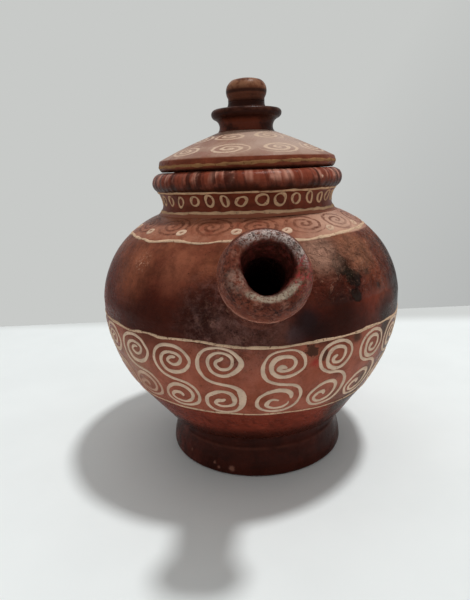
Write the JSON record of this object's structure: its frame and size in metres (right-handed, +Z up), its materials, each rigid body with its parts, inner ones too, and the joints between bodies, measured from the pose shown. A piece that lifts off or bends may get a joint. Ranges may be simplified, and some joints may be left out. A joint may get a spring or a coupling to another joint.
{
  "type": "lidded spouted jug",
  "caption": "Round-bellied terracotta jug with a short upward spout, a hollow foot ring, a rolled rim and a lift-off lid with a turned knob.",
  "frame": {"origin": "on the turning axis, at the height of the surface that the foot ring stands on", "axes": "+Z up along the turning axis, -Y towards the spout's mouth, +X to the right seen from the spout's side"},
  "size_m": [0.1548, 0.1889, 0.1914],
  "materials": {
    "clay_foot": "burnished red-brown slip, worn matt at the base",
    "clay_body": "burnished red-brown slip with smoke clouds",
    "clay_neck": "burnished red-brown slip",
    "clay_rim": "burnished red-brown slip with dark strokes",
    "clay_spout": "burnished dark red slip with soot",
    "clay_lid": "burnished red-brown slip, rubbed paler on top",
    "clay_knob": "burnished dark brown slip"
  },
  "bodies": {
    "pot": {"foot_ring": "clay_foot", "belly_bowl": "clay_body", "belly_shoulder": "clay_body", "neck": "clay_neck", "rim_roll": "clay_rim", "spout_tube": "clay_spout", "spout_lip": "clay_spout"},
    "lid": {"lid_cover": "clay_lid", "lid_flange": "clay_lid", "knob_collar": "clay_knob", "knob_bead": "clay_knob"}
  },
  "joints": [
    {"name": "lid_lift", "type": "slide", "parent": "pot", "child": "lid", "axis": [0, 0, 1], "range_m": [0, 0.05]}
  ]
}
